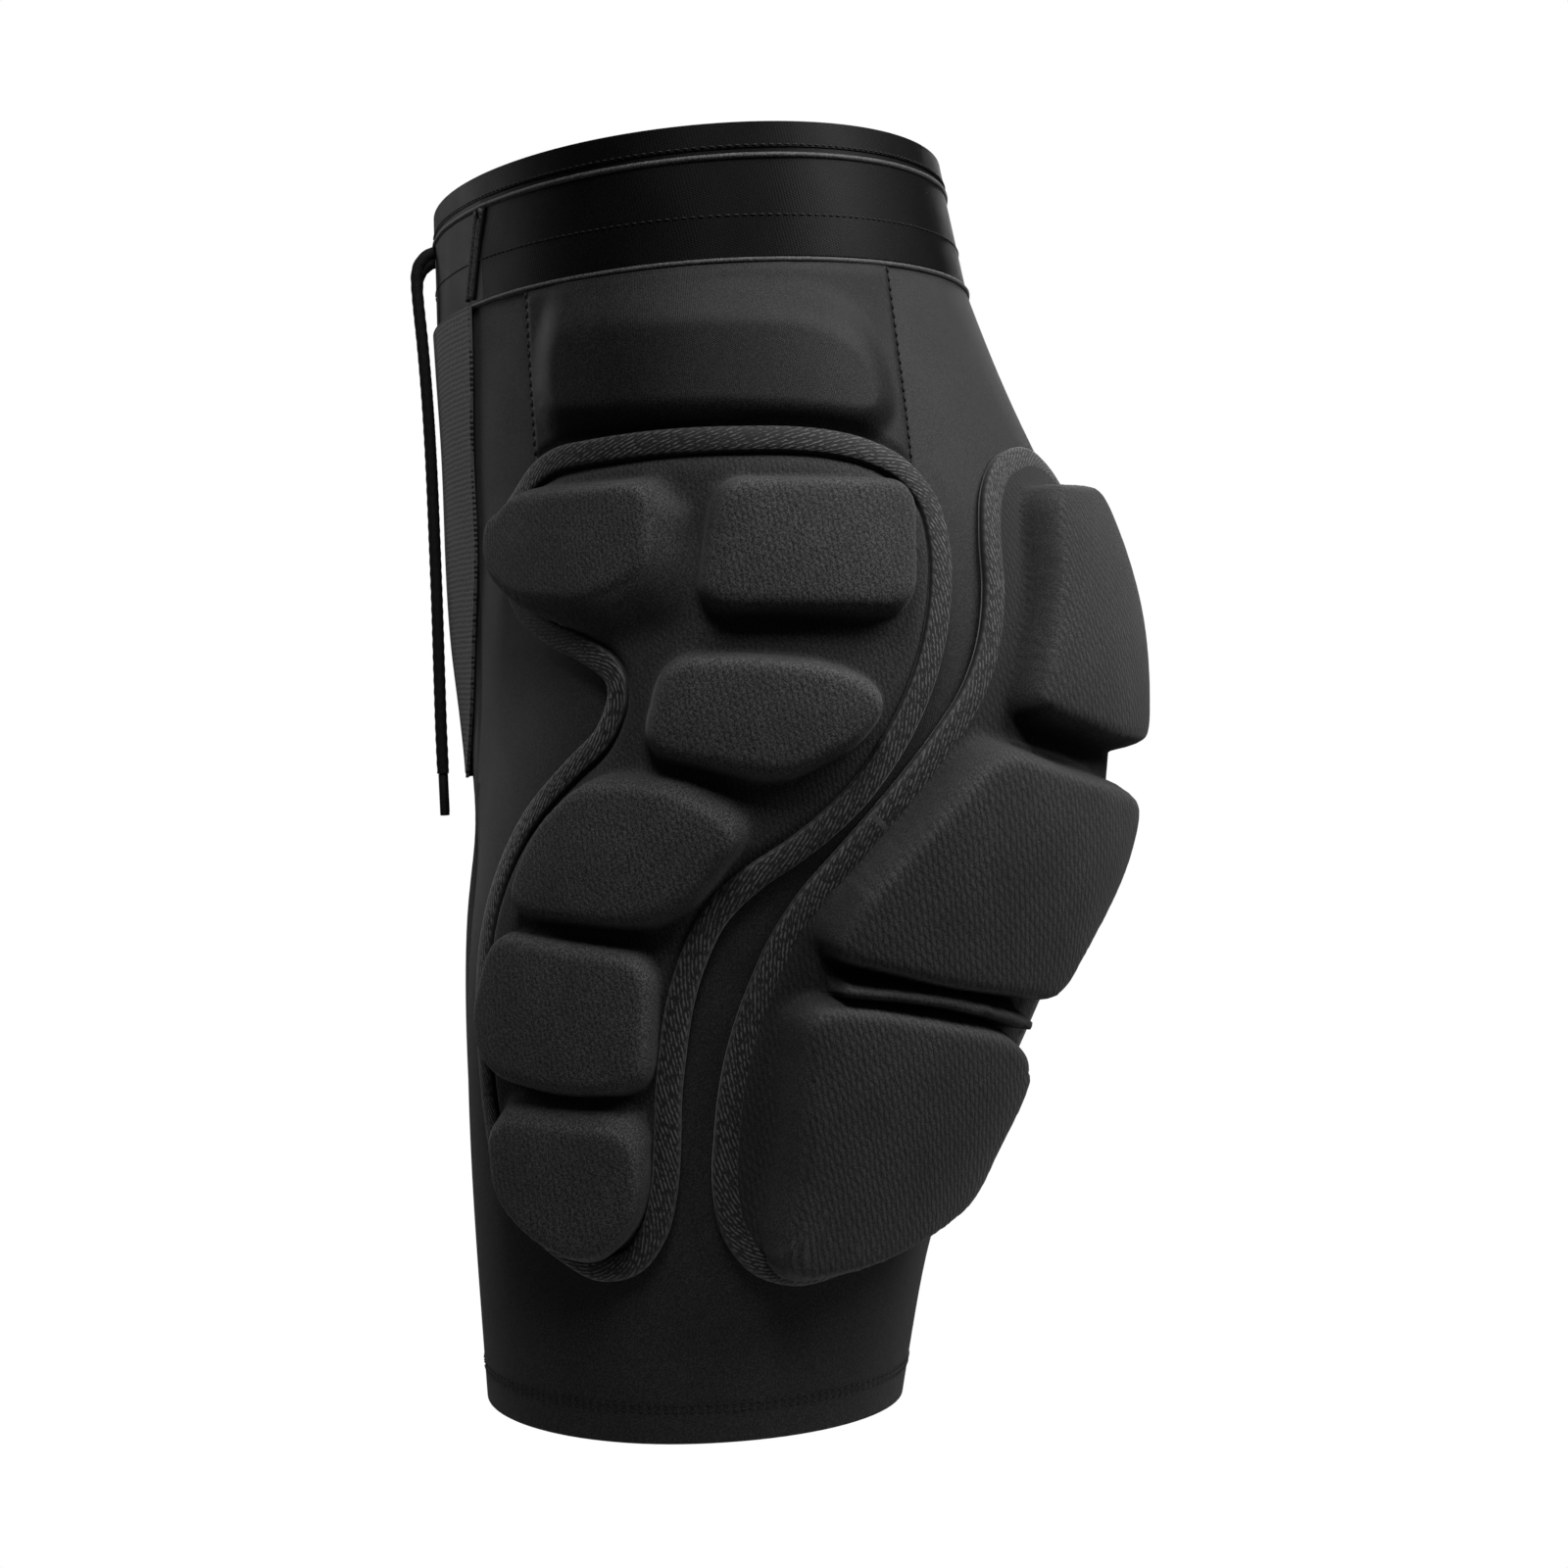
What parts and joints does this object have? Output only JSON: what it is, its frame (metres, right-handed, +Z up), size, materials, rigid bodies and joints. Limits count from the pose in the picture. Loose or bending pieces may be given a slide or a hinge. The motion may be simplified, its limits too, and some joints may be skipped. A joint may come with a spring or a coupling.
{
  "type": "padded sport shorts",
  "caption": "Close-fitting sport shorts with soft raised blocks over the hips and the seat, taped pad edges, a mesh front panel, an elastic waistband and a drawstring.",
  "frame": {"origin": "middle of the waist opening, level with the waistband's top edge at the hips", "axes": "+Z up the wearer's body, -Y to the wearer's front, +X to the wearer's left"},
  "size_m": [0.3822, 0.2666, 0.4479],
  "materials": {
    "cloth": "smooth stretch knit",
    "elastic": "ribbed elastic",
    "netting": "open mesh knit",
    "padding": "fine knit over foam",
    "tape": "herringbone tape",
    "cord": "round braid",
    "tip": "smooth"
  },
  "bodies": {
    "root": {"shell": "cloth", "waist_rim": "elastic", "waistband": "elastic", "waistband_front": "elastic", "front_mesh": "netting", "upper_pad_left": "cloth", "upper_pad_right": "cloth", "hip_pad_left": "padding", "hip_pad_right": "padding", "hip_binding_left": "tape", "hip_binding_right": "tape", "seat_pad_left": "padding", "seat_pad_right": "padding", "seat_binding_left": "tape", "seat_binding_right": "tape", "drawstring_left": "cord", "drawstring_right": "cord", "drawstring_tip_left": "tip", "drawstring_tip_right": "tip"}
  },
  "joints": []
}
